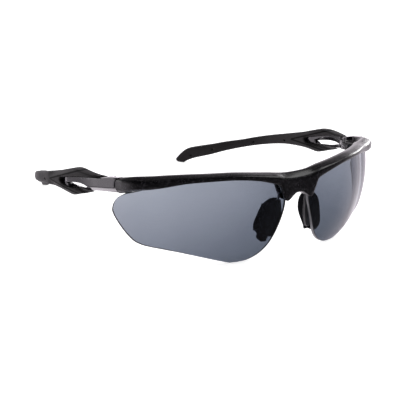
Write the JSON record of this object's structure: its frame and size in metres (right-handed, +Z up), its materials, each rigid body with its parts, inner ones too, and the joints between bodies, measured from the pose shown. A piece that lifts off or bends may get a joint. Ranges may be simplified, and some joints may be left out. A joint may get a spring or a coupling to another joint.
{
  "type": "safety glasses",
  "caption": "Half-rim wraparound safety glasses with tinted lenses, swivelling nose pads and folding temples with soft forked sleeves.",
  "frame": {"origin": "centre of the bounding box in plan, on the table under the lenses and temple tips", "axes": "+Z up, -Y the way the wearer looks, +X the wearer's left"},
  "size_m": [0.1434, 0.1498, 0.0389],
  "materials": {
    "frame": "satin to glossy black moulding with a fine metallic fleck",
    "lens": "clear smoke grey polycarbonate, polished",
    "core": "glossy grey-black moulding",
    "sleeve": "matte dark warm grey soft-touch rubber",
    "pad": "matte black silicone",
    "carrier": "satin dark grey",
    "steel": "plain steel"
  },
  "bodies": {
    "front": {"front_frame": "frame", "right_lens": "lens", "left_lens": "lens", "right_hinge_screw": "steel", "left_hinge_screw": "steel", "right_nose_pad_stub": "steel", "left_nose_pad_stub": "steel"},
    "right_temple": {"right_temple_core": "core", "right_temple_sleeve": "sleeve"},
    "left_temple": {"left_temple_core": "core", "left_temple_sleeve": "sleeve"},
    "right_nose_piece": {"right_nose_pad_carrier": "carrier", "right_nose_pad": "pad"},
    "left_nose_piece": {"left_nose_pad_carrier": "carrier", "left_nose_pad": "pad"}
  },
  "joints": [
    {"name": "left_temple_fold", "type": "hinge", "parent": "front", "child": "left_temple", "pos_m": [0.0619, -0.03776, 0.0304], "axis": [0, 0, 1], "range_deg": [0, 84]},
    {"name": "right_temple_fold", "type": "hinge", "parent": "front", "child": "right_temple", "pos_m": [-0.0619, -0.03776, 0.0304], "axis": [0, 0, -1], "range_deg": [0, 74]},
    {"name": "left_nose_pad_swivel", "type": "hinge", "parent": "front", "child": "left_nose_piece", "pos_m": [0.008, -0.06936, 0.025], "axis": [0, 0, 1], "range_deg": [-3, 8]},
    {"name": "right_nose_pad_swivel", "type": "hinge", "parent": "front", "child": "right_nose_piece", "pos_m": [-0.008, -0.06936, 0.025], "axis": [0, 0, -1], "range_deg": [-3, 8]}
  ]
}
